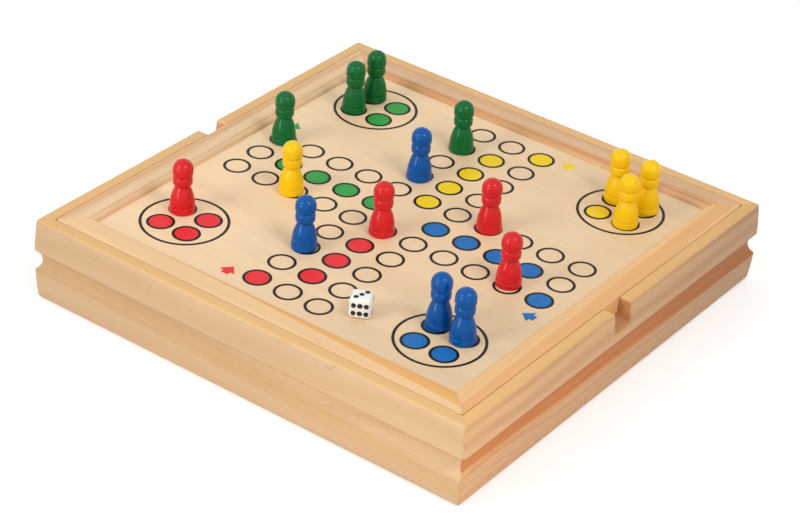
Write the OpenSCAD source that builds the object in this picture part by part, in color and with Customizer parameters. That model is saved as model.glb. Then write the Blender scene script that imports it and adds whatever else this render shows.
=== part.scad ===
// Ludo box: a square wooden box whose framed game board lifts out as its lid.
// Sixteen turned pawns and a die stand on the board. The origin is at the centre of the base, with
// +Z up. The walls at -X and +X have a finger notch to lift the lid by.

/* [Box] */
// Side of the square box, across the fullest part of its walls
box_w = 290; // [280:1:320]
// Height of the box from its base to the tops of the walls
box_h = 50; // [47:0.5:60]
// Thickness of a wall bar from its fullest point to its inner face
wall_t = 14; // [13:0.5:17]
// Thickness of the rim, the part of a wall that stands beside the lid
rim_t = 8.7; // [7.5:0.1:9.5]
// Radius of the gentle bulge of the walls' outer face
bulge_r = 180; // [160:5:400]
// Height of the fullest point of the bulge
bulge_z = 27; // [24:0.5:30]
// Rounding of the top outer edge
top_round = 1.5; // [0.4:0.1:1.5]
// Rounding of the bottom outer edge
foot_round = 3; // [1:0.1:3.5]

/* [Cove] */
// Radius of the cove that runs round the outside of the walls
cove_r = 7.8; // [6:0.1:9]
// Depth of the cove, measured from the fullest point of the wall
cove_depth = 4; // [2:0.1:5]
// Height of the middle of the cove
cove_z = 24.4; // [22:0.1:26]

/* [Finger notches] */
// Width of a notch
notch_w = 15.5; // [13:0.5:26]
// Depth of a notch below the top of the wall
notch_depth = 14.5; // [13:0.1:16]
// Radius of a notch's lower corners
notch_r = 4; // [2:0.1:6.4]
// Rounding where a notch runs out into the top of the wall
notch_lip_r = 2; // [0.5:0.1:3]

/* [Bottom panel] */
// Thickness of the bottom panel
panel_t = 4; // [3:0.5:6]
// How far the panel's rebate runs into each wall
panel_rebate = 5; // [3:0.5:6]
// Clearance between the panel's edge and its rebate
panel_gap = 0.2; // [0.1:0.05:0.4]

/* [Lid frame] */
// Height of a frame rail from the ledge to the top of the wall
rail_h = 10.9; // [10:0.1:12]
// Width of a frame rail
rail_w = 15.4; // [14:0.1:19]
// Gap between the lid and the wall on each side
lid_gap = 0.4; // [0.2:0.05:0.8]
// Rounding of the lid's four upright corners
lid_corner_r = 2; // [0.5:0.1:4]
// Radius of the rounded moulding along a rail's inner edge
moulding_r = 2.7; // [1.5:0.1:2.9]
// Width of the small flat step beside the moulding
moulding_step = 0.6; // [0.2:0.1:1.5]

/* [Game board] */
// Depth of the board's surface below the top of the frame
board_drop = 3.1; // [3:0.1:4]
// Thickness of the board panel
board_t = 3; // [2.5:0.1:4]
// How far the board's edge runs into the groove of each rail
tongue = 4; // [2:0.5:6]
// Clearance between the board's edge and the end of the groove
tongue_gap = 0.2; // [0.1:0.05:0.4]

/* [Board print] */
// Thickness of the printed ink
ink_t = 0.1; // [0.05:0.05:0.2]
// Margin between the grid of fields and the frame
print_margin = 6.2; // [3:0.2:9]
// Outer diameter of a field's ring
field_d = 16; // [13:0.1:16.4]
// Width of the black outlines
line_w = 1.6; // [0.5:0.1:1.8]
// Outer diameter of the ring round a house
house_d = 50.2; // [46:0.1:52]
// Distance from the middle of a house to the frame
house_inset = 34; // [31:0.5:38]
// Distance between the middles of neighbouring dots in a house
house_step = 18.5; // [17:0.1:19.2]
// Width of an arrow's head
arrow_w = 10; // [7:0.1:12]
// Length of an arrow's head
arrow_head = 5.8; // [4:0.1:6]
// Width of an arrow's shaft
shaft_w = 4.6; // [3:0.1:6]
// Length of an arrow's shaft
shaft_len = 2.4; // [1:0.1:3]
// Gap between an arrow and the ring beside it
arrow_gap = 3.1; // [1:0.1:5]

/* [Pawns] */
// Height of a pawn
pawn_h = 32.1; // [31:0.1:36]
// Diameter of a pawn's foot
foot_d = 14.4; // [13.8:0.1:15.2]
// Height of the foot up to the turned line
foot_h = 3.9; // [3:0.1:4.5]
// Rounding of the foot's edges
foot_edge = 0.6; // [0.3:0.1:1]
// Diameter at the bottom of the skirt, above the turned line
skirt_d = 14; // [13:0.1:14.2]
// Radius of the skirt's swelling curve
skirt_r = 48; // [30:1:120]
// Height of the neck, where the skirt ends
neck_z = 15.9; // [14:0.1:16.2]
// Diameter of the neck
neck_d = 7.9; // [6:0.1:9]
// Diameter of the collar between neck and head
collar_d = 11; // [10.2:0.1:11.4]
// Rounding of the collar
collar_round = 2.6; // [1.5:0.1:2.6]
// Diameter of the head
head_d = 11.6; // [11.2:0.1:12.4]
// Rounding of the head's lower edge
head_round = 2.6; // [2:0.1:3]
// How far the head reaches down below its widest part
head_drop = 4.6; // [4.4:0.1:5]

/* [Die] */
// Side of the die
die_w = 12; // [10:0.5:16]
// Rounding of the die's edges
die_round = 2; // [0.5:0.1:2]
// Diameter of a pip
pip_d = 3; // [1.5:0.1:3]
// Depth of a pip's hole
pip_depth = 0.6; // [0.6:0.1:1]
// Thickness of the paint in a pip
pip_paint = 0.2; // [0.1:0.1:0.2]
// Distance of a corner pip from the middle of its face, along each side
pip_step = 2.7; // [2.5:0.1:3.2]
// Distance between the pips in one row of the six
row_step = 3.5; // [3.3:0.1:3.6]
// Distance between the two rows of the six
row_gap = 4.7; // [4:0.1:6]

/* [Hidden] */

// A cutter runs this far past what it cuts
over = 1;
// Paint stands this far inside the wall of its pip
paint_gap = 0.03;

wall_half = box_w / 2;
inner_half = wall_half - wall_t;
rim_half = wall_half - rim_t;
ledge_z = box_h - rail_h;
lid_half = rim_half - lid_gap;
view_half = lid_half - rail_w;
board_z = box_h - board_drop;
ink_z = board_z + ink_t;
notch_z = box_h - notch_depth;
// Distance that the outer face falls back from its fullest point at the top of the wall
top_fall = bulge_r - sqrt(bulge_r * bulge_r - pow(box_h - bulge_z, 2));
foot_fall = bulge_r - sqrt(bulge_r * bulge_r - bulge_z * bulge_z);

// The track is a cross of fields in a grid of eleven by eleven
grid = 11;
arm = 5;
pitch = 2 * (view_half - print_margin) / grid;
house_at = view_half - house_inset;
arrow_at = pitch + field_d / 2 + arrow_gap + arrow_w / 2;

// The colours in the order of their quarters, each a quarter turn on from the one before
COLOURS = ["red", "blue", "yellow", "green"];
TINTS = ["#DC2828", "#1464AA", "#F2CC12", "#1E7A3A"];
pine = "#E0B482";
pale_pine = "#EBD2AC";
ink_black = "#1E1914";

// Where the pawns stand: field is counted in pitches from the middle of the board, and house is the
// sign of the house, then of the dot in it. off is how far from there, in pitches, it was set down.
function on_field(field, off) = (field + off) * pitch;
function in_house(house, dot, off) = house * house_at + dot * house_step / 2 + off * pitch;
red_places = [
    in_house([-1, -1], [-1, 1], [0.04, -0.07]),
    on_field([0, -1], [0.03, -0.1]),
    on_field([2, 1], [0.03, -0.02]),
    on_field([4, -1], [-0.04, 0.11])];
blue_places = [
    on_field([-1, -3], [-0.04, -0.04]),
    on_field([-1, 2], [0.05, -0.11]),
    in_house([1, -1], [-1, 1], [0.03, 0.07]),
    in_house([1, -1], [1, 1], [-0.01, -0.09])];
yellow_places = [
    on_field([-3, -1], [-0.06, -0.07]),
    in_house([1, 1], [-1, 1], [-0.02, 0.05]),
    in_house([1, 1], [1, 1], [0.03, 0.08]),
    in_house([1, 1], [1, -1], [0, -0.03])];
green_places = [
    on_field([-5, 1], [0.06, -0.06]),
    on_field([-1, 4], [0.01, -0.07]),
    in_house([-1, 1], [-1, -1], [0.01, -0.01]),
    in_house([-1, 1], [-1, 1], [0.05, 0.02])];
places = [red_places, blue_places, yellow_places, green_places];

// The die lies beside the arm of the track that is at the front, turned by hand
die_place = on_field([2, -4], [-0.02, -0.54]);
die_turn = 28.7;

// Fineness of large and small round shapes
fine = 720;
smooth = 96;
tiny = 32;

// The corner piece that a rounding of radius r cuts away, for a corner that points to +X and +Y
module corner_waste(r) {
    difference() {
        translate([-r, -r]) square(r + over);
        translate([-r, -r]) circle(r, $fn = smooth);
    }
}

// A prism under the quarter of the plan towards +X, with the mitred ends of a frame's bar
module mitre(reach, z0, z1) {
    translate([0, 0, z0]) linear_extrude(z1 - z0)
        polygon([[0, 0], [reach, -reach], [reach, reach]]);
}

// A bar at +X with mitred ends, drawn out along Y from the outline below it
module bar(half, z0, z1) {
    intersection() {
        rotate([90, 0, 0]) linear_extrude(2 * half, center = true) children();
        mitre(half + over, z0, z1);
    }
}

// Cross-section of a wall bar: bulging face, cove, ledge for the lid and rebate for the bottom
module wall_outline() {
    difference() {
        intersection() {
            translate([inner_half, 0]) square([wall_t, box_h]);
            translate([wall_half - bulge_r, bulge_z]) circle(bulge_r, $fn = fine);
        }
        translate([wall_half - cove_depth + cove_r, cove_z]) circle(cove_r, $fn = smooth);
        translate([inner_half - over, ledge_z]) square([wall_t - rim_t + over, rail_h + over]);
        translate([inner_half - over, -over]) square([panel_rebate + over, panel_t + over]);
        translate([wall_half - top_fall, box_h]) corner_waste(top_round);
        translate([wall_half - foot_fall, 0]) mirror([0, 1]) corner_waste(foot_round);
    }
}

// Outline of a finger notch, looking along the wall's thickness, from the wall top down
module notch_outline() {
    half = notch_w / 2;
    translate([-half, notch_z + notch_r]) square([notch_w, notch_depth - notch_r + over]);
    translate([-half + notch_r, notch_z]) square([notch_w - 2 * notch_r, notch_r + over]);
    for (s = [-1, 1]) {
        translate([s * (half - notch_r), notch_z + notch_r]) circle(notch_r, $fn = smooth);
        translate([s * half, box_h]) difference() {
            translate([s > 0 ? 0 : -notch_lip_r, -notch_lip_r])
                square([notch_lip_r, notch_lip_r + over]);
            translate([s * notch_lip_r, -notch_lip_r]) circle(notch_lip_r, $fn = smooth);
        }
    }
}

module notch_cutter() {
    translate([inner_half - over, 0, 0]) rotate([90, 0, 90])
        linear_extrude(wall_t + 2 * over) notch_outline();
}

module wall(turn, notched) {
    color(pine) rotate([0, 0, turn]) difference() {
        bar(wall_half, 0, box_h) wall_outline();
        if (notched) notch_cutter();
    }
}

module bottom_panel() {
    side = 2 * (inner_half + panel_rebate - panel_gap);
    color(pale_pine) translate([-side / 2, -side / 2, 0]) cube([side, side, panel_t]);
}

// Cross-section of a frame rail: flat top, rounded inner moulding and the groove for the board
module rail_outline() {
    round_x = view_half + moulding_r;
    difference() {
        translate([view_half, ledge_z]) square([rail_w, rail_h]);
        translate([view_half - over, board_z - board_t]) square([over + tongue + tongue_gap, board_t]);
        difference() {
            translate([view_half - over, board_z])
                square([over + moulding_r + moulding_step, board_drop + over]);
            translate([round_x, board_z]) circle(moulding_r, $fn = smooth);
            translate([round_x, board_z]) square([moulding_step, moulding_r]);
        }
    }
}

// The lid's plan with its four upright corners rounded
module lid_plan() {
    flat = lid_half - lid_corner_r;
    square([2 * flat, 2 * lid_half], center = true);
    square([2 * lid_half, 2 * flat], center = true);
    for (x = [-flat, flat], y = [-flat, flat]) translate([x, y]) circle(lid_corner_r, $fn = smooth);
}

module lid_rail(turn) {
    color(pine) rotate([0, 0, turn]) intersection() {
        bar(lid_half, ledge_z, box_h) rail_outline();
        translate([0, 0, ledge_z - over]) linear_extrude(rail_h + 2 * over) lid_plan();
    }
}

module game_board() {
    side = 2 * (view_half + tongue);
    color(pale_pine) translate([-side / 2, -side / 2, board_z - board_t]) cube([side, side, board_t]);
}

// One layer of ink of the shape below it, lying on the board
module ink() {
    translate([0, 0, board_z]) linear_extrude(ink_t) children();
}

module outline_ring(d) {
    difference() {
        circle(d = d, $fn = smooth);
        circle(d = d - 2 * line_w, $fn = smooth);
    }
}

// Middles of the fields in one quarter of the track, beginning with the start field
quarter_fields = concat(
    [for (row = [-arm:-1]) [-pitch, row * pitch]],
    [for (row = [-arm:-1]) [0, row * pitch]],
    [for (row = [-arm:-2]) [pitch, row * pitch]]);
house_middle = [-house_at, -house_at];
house_dots = [for (x = [-1, 1], y = [-1, 1]) house_middle + [x, y] * house_step / 2];
start_field = [-pitch, -arm * pitch];
home_fields = [for (row = [1 - arm:-1]) [0, row * pitch]];

module print_outlines() {
    color(ink_black) ink() for (turn = [0:90:270]) rotate(turn) {
        for (middle = concat(quarter_fields, house_dots)) translate(middle) outline_ring(field_d);
        translate(house_middle) outline_ring(house_d);
    }
}

// Block arrow that points into the board, its tip level with the start field
module arrow() {
    translate([-arrow_at, -arm * pitch]) polygon([
        [0, 0], [arrow_w / 2, -arrow_head], [shaft_w / 2, -arrow_head],
        [shaft_w / 2, -arrow_head - shaft_len], [-shaft_w / 2, -arrow_head - shaft_len],
        [-shaft_w / 2, -arrow_head], [-arrow_w / 2, -arrow_head]]);
}

module print_colour(i) {
    color(TINTS[i]) ink() rotate(90 * i) {
        for (middle = concat([start_field], home_fields, house_dots))
            translate(middle) circle(d = field_d - 2 * line_w, $fn = smooth);
        arrow();
    }
}

// Half outline of a turned disc from z0 to z1, with its lower and upper edges rounded
module turned(r, z0, z1, low, high) {
    translate([0, z0]) square([r - max(low, high), z1 - z0]);
    translate([0, z0 + low]) square([r, z1 - z0 - low - high]);
    translate([0, z0]) square([r - low, low]);
    translate([0, z1 - high]) square([r - high, high]);
    translate([r - low, z0 + low]) intersection() {
        circle(low, $fn = smooth);
        translate([0, -low]) square([low, low]);
    }
    translate([r - high, z1 - high]) intersection() {
        circle(high, $fn = smooth);
        square(high);
    }
}

// Middle of the circle of radius r through a low point p and a high point q, on the side of the axis
function arc_middle(p, q, r) =
    let (chord = q - p, half = norm(chord) / 2, away = sqrt(r * r - half * half))
    (p + q) / 2 - away * [chord[1], -chord[0]] / (2 * half);

// Half outline of a pawn, from its foot to its head
module pawn_outline() {
    head_r = head_d / 2;
    head_z = pawn_h - head_r;
    jaw_z = head_z - head_drop;
    // The collar's rounded top ends inside the head
    collar_top = jaw_z + collar_round / 2;
    turned(foot_d / 2, 0, foot_h, foot_edge, foot_edge);
    difference() {
        intersection() {
            translate(arc_middle([skirt_d / 2, foot_h], [neck_d / 2, neck_z], skirt_r))
                circle(skirt_r, $fn = fine);
            translate([0, foot_h]) square([foot_d / 2, neck_z - foot_h + collar_round / 2]);
        }
        translate([skirt_d / 2, foot_h]) mirror([0, 1]) corner_waste(foot_edge);
    }
    turned(collar_d / 2, neck_z, collar_top, collar_round, collar_round);
    turned(head_r, jaw_z, head_z + over, head_round, head_round / 2);
    intersection() {
        translate([0, head_z]) circle(head_r, $fn = smooth);
        translate([0, head_z]) square(head_r);
    }
}

module pawn(colour, number) {
    place = places[colour][number - 1];
    color(TINTS[colour]) translate([place[0], place[1], ink_z])
        rotate_extrude($fn = smooth) pawn_outline();
}

// Sets its children on each of the die's six faces in turn, $face being the number of pips there.
// Opposite faces add up to seven, with three on top and six towards the front.
module on_faces() {
    for (side = [[3, 0, 0], [4, 180, 0], [6, 90, 0], [1, -90, 0], [2, 90, 90], [5, 90, -90]]) {
        $face = side[0];
        rotate([side[1], 0, side[2]]) translate([0, 0, die_w / 2]) children();
    }
}

// Middles of the pips on the face of n
function pips(n) = n == 6
    ? [for (x = [-1:1], y = [-1, 1]) [x * row_step, y * row_gap / 2]]
    : pip_step * concat(
        n % 2 == 1 ? [[0, 0]] : [],
        n > 1 ? [[-1, -1], [1, 1]] : [],
        n > 3 ? [[-1, 1], [1, -1]] : []);

module at_pips() {
    on_faces() for (pip = pips($face)) translate(pip) children();
}

module on_die() {
    translate([die_place[0], die_place[1], board_z + die_w / 2]) rotate([0, 0, die_turn]) children();
}

// A cube with round edges and corners: three slabs, twelve edge rods and eight corner balls
module round_cube(w, r) {
    flat = w / 2 - r;
    for (turn = [[0, 0, 0], [90, 0, 0], [0, 90, 0]]) rotate(turn) {
        cube([2 * flat, 2 * flat, w], center = true);
        for (x = [-flat, flat], y = [-flat, flat]) translate([x, y, 0])
            cylinder(h = 2 * flat, r = r, center = true, $fn = tiny);
    }
    for (x = [-flat, flat], y = [-flat, flat], z = [-flat, flat]) translate([x, y, z])
        sphere(r, $fn = tiny);
}

module die_body() {
    color("#F2F0EA") on_die() difference() {
        round_cube(die_w, die_round);
        at_pips() translate([0, 0, -pip_depth]) cylinder(h = pip_depth + over, d = pip_d, $fn = tiny);
    }
}

module die_pips() {
    color(ink_black) on_die() at_pips() translate([0, 0, -pip_depth])
        cylinder(h = pip_paint, r = pip_d / 2 - paint_gap, $fn = tiny);
}

wall(180, true);  // wall_left
wall(0, true);  // wall_right
wall(-90, false);  // wall_front
wall(90, false);  // wall_back
bottom_panel();
lid_rail(180);  // lid_rail_left
lid_rail(0);  // lid_rail_right
lid_rail(-90);  // lid_rail_front
lid_rail(90);  // lid_rail_back
game_board();
print_outlines();
for (i = [0:3]) {
    print_colour(i);
    for (n = [1:4])
        pawn(i, n);
}
die_body();
die_pips();
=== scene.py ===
"""Looks of a square pine ludo box whose framed game board lifts out as its lid.

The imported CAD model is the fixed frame. The walls, the lid's rails, the pawns and the die are modelled
again here with eased edges and replace their plain solids. The bottom panel, the board and the printed
ink keep their own solids and get finishes.
"""

import logging
import math
from dataclasses import dataclass
from enum import Enum
from functools import partial, reduce
from typing import Callable, Sequence

import bmesh
import bpy
from mathutils import Matrix, Vector


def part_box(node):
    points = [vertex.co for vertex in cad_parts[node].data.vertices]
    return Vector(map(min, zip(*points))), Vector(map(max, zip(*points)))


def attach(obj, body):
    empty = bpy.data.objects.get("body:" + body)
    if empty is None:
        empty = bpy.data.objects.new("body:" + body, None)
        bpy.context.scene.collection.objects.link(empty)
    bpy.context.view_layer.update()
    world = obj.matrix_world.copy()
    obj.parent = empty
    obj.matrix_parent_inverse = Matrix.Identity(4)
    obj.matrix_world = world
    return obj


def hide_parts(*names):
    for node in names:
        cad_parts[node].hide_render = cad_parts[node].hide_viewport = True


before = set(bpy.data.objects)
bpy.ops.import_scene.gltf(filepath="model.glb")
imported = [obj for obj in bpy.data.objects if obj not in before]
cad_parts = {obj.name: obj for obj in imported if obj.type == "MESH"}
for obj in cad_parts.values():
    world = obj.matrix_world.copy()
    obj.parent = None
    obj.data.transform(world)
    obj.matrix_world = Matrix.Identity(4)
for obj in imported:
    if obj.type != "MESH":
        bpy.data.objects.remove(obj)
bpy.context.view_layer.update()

log = logging.getLogger("ludo_box")

MM = 0.001
HALF_TURN = math.pi
FULL_TURN = 2 * math.pi
Socket = bpy.types.NodeSocket
Colour = tuple[float, float, float, float]
Point = tuple[float, float]
Place = tuple[float, float, float]

WHITE = (1.0, 1.0, 1.0, 1.0)
# Faces that meet at more than this many degrees keep a crisp edge.
CRISP = 35.0
# The share of an edge that the rounding of one of its corners may take up.
MOST_OF_EDGE = 0.49
PAWNS_EACH = 4


def srgb(red: int, green: int, blue: int) -> Colour:
    """Turn a colour written in steps of 0 to 255 into the linear one that shaders read.

    Args:
        red: red from 0 to 255.
        green: green from 0 to 255.
        blue: blue from 0 to 255.

    Returns:
        The linear colour with a full alpha.
    """
    def linear(step: int) -> float:
        """Undo the display curve of one channel."""
        share = step / 255
        return share / 12.92 if share <= 0.04045 else ((share + 0.055) / 1.055) ** 2.4

    return (linear(red), linear(green), linear(blue), 1.0)


class PieceColour(Enum):
    """The four players' colours, as ink on the board and as lacquer on the pawns."""

    RED = "red"
    BLUE = "blue"
    YELLOW = "yellow"
    GREEN = "green"

    @property
    def ink(self) -> Colour:
        """Colour of the printed ink."""
        return {
            PieceColour.RED: srgb(228, 44, 50),
            PieceColour.BLUE: srgb(20, 106, 178),
            PieceColour.YELLOW: srgb(240, 204, 12),
            PieceColour.GREEN: srgb(46, 156, 66),
        }[self]

    @property
    def lacquer(self) -> Colour:
        """Colour of a pawn's lacquer."""
        return {
            PieceColour.RED: srgb(213, 33, 37),
            PieceColour.BLUE: srgb(0, 82, 158),
            PieceColour.YELLOW: srgb(244, 196, 6),
            PieceColour.GREEN: srgb(4, 102, 46),
        }[self]


class Side(Enum):
    """A side of the square box, valued by its turn about +Z from the side at +X, in quarter turns."""

    RIGHT = 0
    BACK = 1
    LEFT = 2
    FRONT = 3

    @property
    def word(self) -> str:
        """The side's name, as node names end."""
        return self.name.lower()

    @property
    def crosswise(self) -> bool:
        """Whether the side runs along Y."""
        return self in (Side.LEFT, Side.RIGHT)

    @property
    def turn(self) -> Matrix:
        """Rotation that takes a bar at +X to this side."""
        return Matrix.Rotation(self.value * FULL_TURN / 4, 4, "Z")


class NodePad:
    """A node tree being filled, with short calls for the few nodes that the finishes use.

    Each value given to it is a socket, which gets linked, or a plain number or tuple, which gets set.
    """

    def __init__(self, tree: bpy.types.NodeTree) -> None:
        """Start on an emptied tree."""
        self.tree = tree
        tree.nodes.clear()

    def feed(self, node: bpy.types.Node, inputs: dict[str | int, object]) -> None:
        """Feed some of a node's inputs.

        Args:
            node: the node.
            inputs: a value for each of them, by the input's name or number.
        """
        for name, value in inputs.items():
            if isinstance(value, bpy.types.NodeSocket):
                self.tree.links.new(value, node.inputs[name])
            else:
                node.inputs[name].default_value = value

    def add(self, kind: str, inputs: dict[str | int, object] | None = None,
            **settings: object) -> bpy.types.Node:
        """Add one node.

        Args:
            kind: Blender's name of the node type.
            inputs: values for some of its inputs, by the input's name or number.
            **settings: properties to set on it.

        Returns:
            The new node.
        """
        node = self.tree.nodes.new(kind)
        for name, value in settings.items():
            setattr(node, name, value)
        self.feed(node, inputs or {})
        return node

    def maths(self, operation: str, *values: object) -> Socket:
        """Work out one number from others."""
        return self.add("ShaderNodeMath", dict(enumerate(values)), operation=operation).outputs[0]

    def vector(self, operation: str, *values: object) -> bpy.types.Node:
        """Work on vectors, and return the node."""
        return self.add("ShaderNodeVectorMath", dict(enumerate(values)), operation=operation)

    def mix(self, share: object, first: object, second: object, blend: str = "MIX") -> Socket:
        """Mix a share of the second colour into the first, in the way that blend names."""
        inputs = {0: share, 6: first, 7: second}
        return self.add("ShaderNodeMix", inputs, data_type="RGBA", blend_type=blend).outputs[2]

    def times(self, *values: object) -> Socket:
        """Multiply numbers."""
        return reduce(partial(self.maths, "MULTIPLY"), values)

    def plus(self, *values: object) -> Socket:
        """Add numbers."""
        return reduce(partial(self.maths, "ADD"), values)

    def swing(self, noise: Socket, reach: object) -> Socket:
        """Turn noise from 0 to 1 into a swing about 0 that is reach wide."""
        return self.times(self.maths("SUBTRACT", noise, 0.5), reach)

    def parts(self, place: Socket) -> list[Socket]:
        """Split a place into its three coordinates."""
        return self.add("ShaderNodeSeparateXYZ", {0: place}).outputs[:3]

    def shaded(self, tone: Socket, level: Socket) -> Socket:
        """Multiply a colour with a level of grey."""
        grey = self.add("ShaderNodeCombineColor", {0: level, 1: level, 2: level})
        return self.mix(1.0, tone, grey.outputs[0], "MULTIPLY")

    def noise(self, place: object, detail: float = 2.0, rough: float = 0.5) -> Socket:
        """Draw smooth noise from 0 to 1 with one lump per unit of place."""
        inputs = {"Vector": place, "Scale": 1.0, "Detail": detail, "Roughness": rough}
        return self.add("ShaderNodeTexNoise", inputs).outputs["Fac"]

    def streaks(self, place: Socket, along: float, across: float, detail: float = 2.0,
                rough: float = 0.5) -> Socket:
        """Draw noise with so many lumps per unit of place along X, and so many across X."""
        return self.noise(self.vector("MULTIPLY", place, (along, across, across)).outputs[0], detail, rough)

    def bands(self, place: object, detail: float = 2.0) -> Socket:
        """Draw smooth noise along a single number, which makes bands across it."""
        inputs = {"W": place, "Scale": 1.0, "Detail": detail}
        return self.add("ShaderNodeTexNoise", inputs, noise_dimensions="1D").outputs["Fac"]

    def step(self, value: Socket, low: float, high: float, top: object = 1.0) -> Socket:
        """Rise smoothly from 0 to top as value goes from low to high."""
        inputs = {"Value": value, "From Min": low, "From Max": high, "To Max": top}
        return self.add("ShaderNodeMapRange", inputs, interpolation_type="SMOOTHSTEP").outputs[0]

    def bump(self, height: Socket, depth: float, strength: float) -> Socket:
        """Turn a height from 0 to 1 into a bumped normal, depth metres deep."""
        inputs = {"Height": height, "Distance": depth, "Strength": strength}
        return self.add("ShaderNodeBump", inputs).outputs[0]


@dataclass(frozen=True)
class GroupSpec:
    """A node group's name and its sockets."""

    name: str
    inputs: dict[str, str]
    outputs: dict[str, str]

    def build(self, fill: Callable[[NodePad, bpy.types.Node, bpy.types.Node], None]) -> bpy.types.NodeTree:
        """Make the group once, and hand back the same one after that.

        Args:
            fill: puts the nodes in, given the pad and the group's input and output nodes.

        Returns:
            The node group.
        """
        known = bpy.data.node_groups.get(self.name)
        if known:
            return known
        tree = bpy.data.node_groups.new(self.name, "ShaderNodeTree")
        for name, kind in self.inputs.items():
            tree.interface.new_socket(name, in_out="INPUT", socket_type=kind)
        for name, kind in self.outputs.items():
            tree.interface.new_socket(name, in_out="OUTPUT", socket_type=kind)
        pad = NodePad(tree)
        fill(pad, pad.add("NodeGroupInput"), pad.add("NodeGroupOutput"))
        return tree


NUMBER = "NodeSocketFloat"
VECTOR = "NodeSocketVector"
COLOUR = "NodeSocketColor"

RESIN = srgb(160, 104, 62)

WOOD_FIGURE = GroupSpec(
    "Wood figure",
    {
        "Along Grain": VECTOR,
        "Pale": COLOUR,
        "Late": COLOUR,
        "Heart": COLOUR,
        "Ring Spacing": NUMBER,
        "Ring Strength": NUMBER,
        "Heart Share": NUMBER,
        "Fibre Strength": NUMBER,
        "Fleck Strength": NUMBER,
    },
    {"Colour": COLOUR, "Roughness": NUMBER, "Height": NUMBER},
)


def fill_wood_figure(pad: NodePad, given: bpy.types.Node, out: bpy.types.Node) -> None:
    """Draw pine's growth rings, heartwood, fibres and resin flecks, all drawn out along the grain (X).

    Args:
        pad: the group's nodes.
        given: the group's input node.
        out: the group's output node.
    """
    take = given.outputs
    place = take["Along Grain"]
    _, across, up = pad.parts(place)
    away = pad.maths("SQRT", pad.plus(pad.maths("POWER", across, 2.0), pad.maths("POWER", up, 2.0)))
    wander = pad.times(pad.streaks(place, along=7, across=30, detail=1.0), 16 * MM)
    ring_place = pad.maths("DIVIDE", pad.plus(away, wander), take["Ring Spacing"])
    broad = pad.step(pad.bands(ring_place, detail=3.0), low=0.34, high=0.68)
    wave = pad.maths("PINGPONG", pad.times(ring_place, 1.7), 1.0)
    line = pad.times(pad.maths("POWER", wave, 5.0),
                     pad.step(pad.streaks(place, along=5, across=60), low=0.42, high=0.66))
    rings = pad.times(pad.plus(pad.times(broad, 0.75), pad.times(line, 0.45)), take["Ring Strength"])
    tone = pad.mix(take["Heart Share"], pad.mix(rings, take["Pale"], take["Late"]), take["Heart"])
    cloud = pad.streaks(place, along=10, across=55)
    fibre = pad.streaks(place, along=26, across=1250, detail=4.0, rough=0.6)
    tone = pad.shaded(tone, pad.plus(1.0, pad.swing(fibre, take["Fibre Strength"]), pad.swing(cloud, 0.16)))
    dash = pad.step(pad.streaks(place, along=110, across=1300, detail=1.0, rough=0.4), low=0.68, high=0.76)
    crowd = pad.step(pad.streaks(place, along=14, across=70, detail=1.0), low=0.45, high=0.62)
    fleck = pad.times(dash, crowd, take["Fleck Strength"])
    pad.feed(out, {
        "Colour": pad.mix(fleck, tone, RESIN),
        "Roughness": pad.plus(0.4, pad.times(fibre, 0.14), pad.times(rings, -0.06)),
        "Height": pad.maths("SUBTRACT", pad.plus(pad.times(fibre, 0.6), pad.times(rings, 0.4)), fleck),
    })


HANDLING_MARKS = GroupSpec(
    "Handling marks",
    {"Place": VECTOR, "Lump Size": NUMBER},
    {"Rub": NUMBER, "Orange Peel": NUMBER},
)


def fill_handling_marks(pad: NodePad, given: bpy.types.Node, out: bpy.types.Node) -> None:
    """Draw where hands have dulled a gloss surface, and the slight peel of sprayed lacquer.

    Args:
        pad: the group's nodes.
        given: the group's input node.
        out: the group's output node.
    """
    size = given.outputs["Lump Size"]
    cube = pad.add("ShaderNodeCombineXYZ", {0: size, 1: size, 2: size})
    place = pad.vector("DIVIDE", given.outputs["Place"], cube.outputs[0]).outputs[0]
    pad.feed(out, {
        "Rub": pad.step(pad.noise(place, detail=4.0, rough=0.62), low=0.45, high=0.7),
        "Orange Peel": pad.streaks(place, along=7, across=7, detail=1.0),
    })


@dataclass(frozen=True)
class Finish:
    """What every finish has: a name and a way to start its material."""

    name: str

    def start(self) -> tuple[bpy.types.Material, NodePad, bpy.types.Node, Socket]:
        """Make the empty material.

        Returns:
            The material, its nodes' pad, its shader and the Object coordinates.
        """
        material = bpy.data.materials.new(self.name)
        material.use_nodes = True
        pad = NodePad(material.node_tree)
        shader = pad.add("ShaderNodeBsdfPrincipled")
        pad.add("ShaderNodeOutputMaterial", {"Surface": shader.outputs[0]})
        return material, pad, shader, pad.add("ShaderNodeTexCoord").outputs["Object"]


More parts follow.
